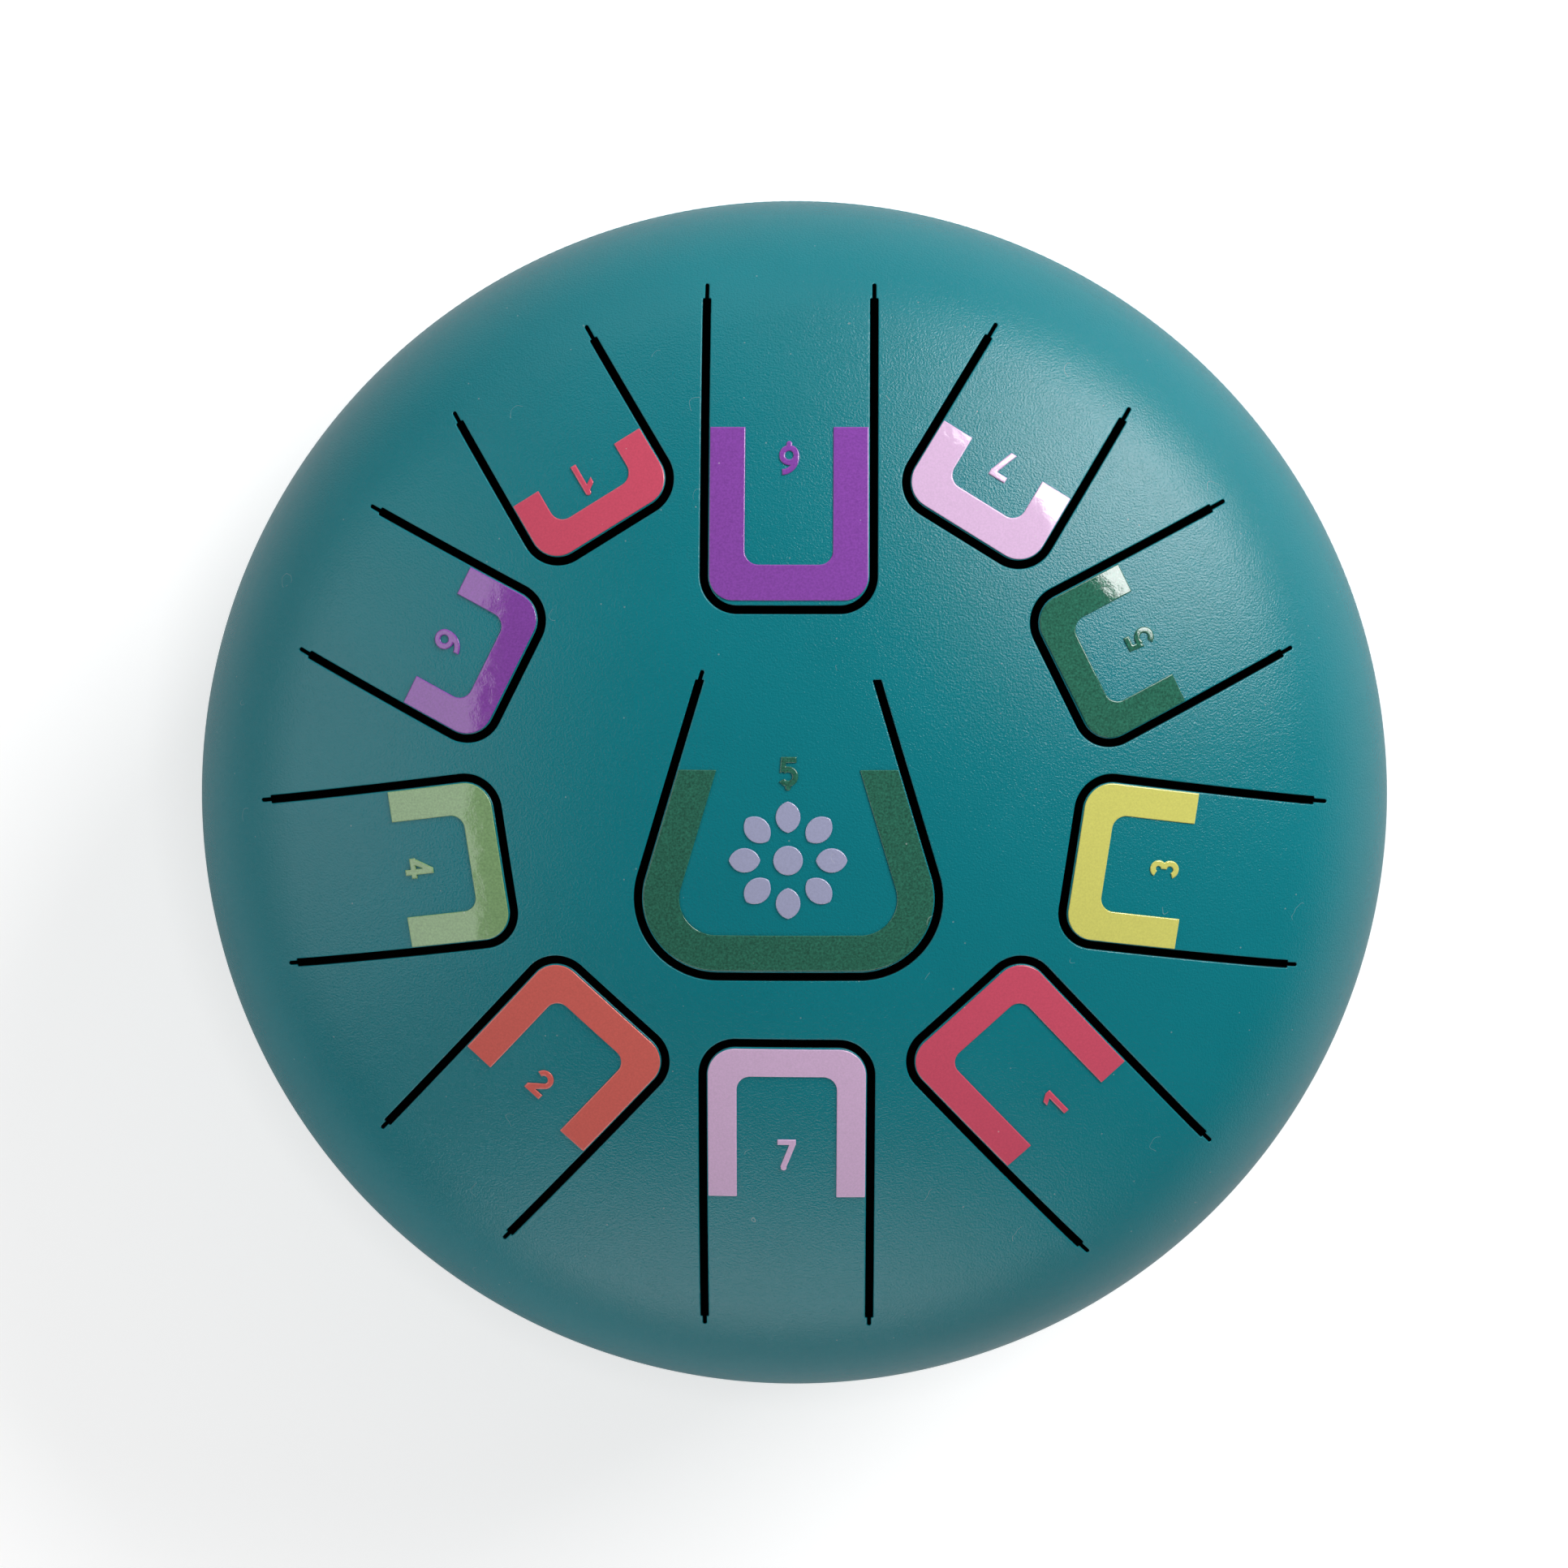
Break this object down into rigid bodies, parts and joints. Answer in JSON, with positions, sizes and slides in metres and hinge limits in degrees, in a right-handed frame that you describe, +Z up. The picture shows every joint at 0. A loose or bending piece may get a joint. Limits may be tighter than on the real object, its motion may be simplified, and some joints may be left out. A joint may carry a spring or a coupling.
{
  "type": "steel tongue drum",
  "caption": "Round steel tongue drum of two welded dished shells, with cut tongues and coloured number marks on top, a sound hole below and rubber feet.",
  "frame": {"origin": "on the table, under the drum's axis", "axes": "+Z up along the drum's axis; -Y towards the player, where the middle tongue's tip points; +X to the player's right"},
  "size_m": [0.2542, 0.2542, 0.1403],
  "materials": {
    "paint": "satin teal with a fine orange-peel grain",
    "rubber": "matt black",
    "steel": "bright zinc plate",
    "vinyl_red": "gloss",
    "vinyl_orange": "gloss",
    "vinyl_yellow": "gloss",
    "vinyl_light_green": "gloss",
    "vinyl_dark_green": "gloss",
    "vinyl_purple": "gloss",
    "vinyl_pink": "gloss",
    "vinyl_lilac": "gloss"
  },
  "bodies": {
    "drum": {"top_shell": "paint", "bottom_shell": "paint", "rim_weld": "paint", "foot_front": "rubber", "foot_washer_front": "steel", "foot_screw_front": "steel", "foot_nut_front": "steel", "foot_right": "rubber", "foot_washer_right": "steel", "foot_screw_right": "steel", "foot_nut_right": "steel", "foot_left": "rubber", "foot_washer_left": "steel", "foot_screw_left": "steel", "foot_nut_left": "steel"},
    "tongue_low_6": {"tongue_low_6": "paint", "mark_low_6": "vinyl_purple", "number_low_6": "vinyl_purple"},
    "tongue_low_7": {"tongue_low_7": "paint", "mark_low_7": "vinyl_pink", "number_low_7": "vinyl_pink"},
    "tongue_1": {"tongue_1": "paint", "mark_1": "vinyl_red", "number_1": "vinyl_red"},
    "tongue_2": {"tongue_2": "paint", "mark_2": "vinyl_orange", "number_2": "vinyl_orange"},
    "tongue_3": {"tongue_3": "paint", "mark_3": "vinyl_yellow", "number_3": "vinyl_yellow"},
    "tongue_4": {"tongue_4": "paint", "mark_4": "vinyl_light_green", "number_4": "vinyl_light_green"},
    "tongue_5": {"tongue_5": "paint", "mark_5": "vinyl_dark_green", "number_5": "vinyl_dark_green"},
    "tongue_6": {"tongue_6": "paint", "mark_6": "vinyl_purple", "number_6": "vinyl_purple"},
    "tongue_7": {"tongue_7": "paint", "mark_7": "vinyl_pink", "number_7": "vinyl_pink"},
    "tongue_high_1": {"tongue_high_1": "paint", "mark_high_1": "vinyl_red", "number_high_1": "vinyl_red"},
    "tongue_low_5": {"tongue_low_5": "paint", "mark_low_5": "vinyl_dark_green", "number_low_5": "vinyl_dark_green", "centre_rosette": "vinyl_lilac"}
  },
  "joints": [
    {"name": "tongue_low_6_flex", "type": "hinge", "parent": "drum", "child": "tongue_low_6", "pos_m": [0, 0.1066, 0.11029], "axis": [1, 0, 0], "range_deg": [-0.5, 0.5], "stiffness_Nm_per_rad": 73.6},
    {"name": "tongue_low_7_flex", "type": "hinge", "parent": "drum", "child": "tongue_low_7", "pos_m": [-0.00075, -0.1056, 0.11099], "axis": [-1, 0.007, 0], "range_deg": [-0.5, 0.5], "stiffness_Nm_per_rad": 88.3},
    {"name": "tongue_1_flex", "type": "hinge", "parent": "drum", "child": "tongue_1", "pos_m": [0.07343, -0.07869, 0.10953], "axis": [-0.7396, -0.673, 0], "range_deg": [-0.5, 0.5], "stiffness_Nm_per_rad": 83.7},
    {"name": "tongue_2_flex", "type": "hinge", "parent": "drum", "child": "tongue_2", "pos_m": [-0.07148, -0.07628, 0.1117], "axis": [-0.7385, 0.6743, 0], "range_deg": [-0.5, 0.5], "stiffness_Nm_per_rad": 86.2},
    {"name": "tongue_3_flex", "type": "hinge", "parent": "drum", "child": "tongue_3", "pos_m": [0.1058, -0.014, 0.1102], "axis": [-0.1495, -0.9888, 0], "range_deg": [-0.5, 0.5], "stiffness_Nm_per_rad": 82.7},
    {"name": "tongue_4_flex", "type": "hinge", "parent": "drum", "child": "tongue_4", "pos_m": [-0.10537, -0.01412, 0.11049], "axis": [-0.1513, 0.9885, 0], "range_deg": [-0.5, 0.5], "stiffness_Nm_per_rad": 88.2},
    {"name": "tongue_5_flex", "type": "hinge", "parent": "drum", "child": "tongue_5", "pos_m": [0.09405, 0.04869, 0.11078], "axis": [0.4446, -0.8957, 0], "range_deg": [-0.5, 0.5], "stiffness_Nm_per_rad": 80.1},
    {"name": "tongue_6_flex", "type": "hinge", "parent": "drum", "child": "tongue_6", "pos_m": [-0.0921, 0.04812, 0.11209], "axis": [0.4478, 0.8942, 0], "range_deg": [-0.5, 0.5], "stiffness_Nm_per_rad": 82.1},
    {"name": "tongue_7_flex", "type": "hinge", "parent": "drum", "child": "tongue_7", "pos_m": [0.05454, 0.09031, 0.11105], "axis": [0.8508, -0.5255, 0], "range_deg": [-0.5, 0.5], "stiffness_Nm_per_rad": 75.4},
    {"name": "tongue_high_1_flex", "type": "hinge", "parent": "drum", "child": "tongue_high_1", "pos_m": [-0.05443, 0.08979, 0.11139], "axis": [0.8499, 0.527, 0], "range_deg": [-0.5, 0.5], "stiffness_Nm_per_rad": 75.9},
    {"name": "tongue_low_5_flex", "type": "hinge", "parent": "drum", "child": "tongue_low_5", "pos_m": [0, 0.03, 0.13708], "axis": [1, 0, 0], "range_deg": [-0.5, 0.5], "stiffness_Nm_per_rad": 81.5}
  ]
}
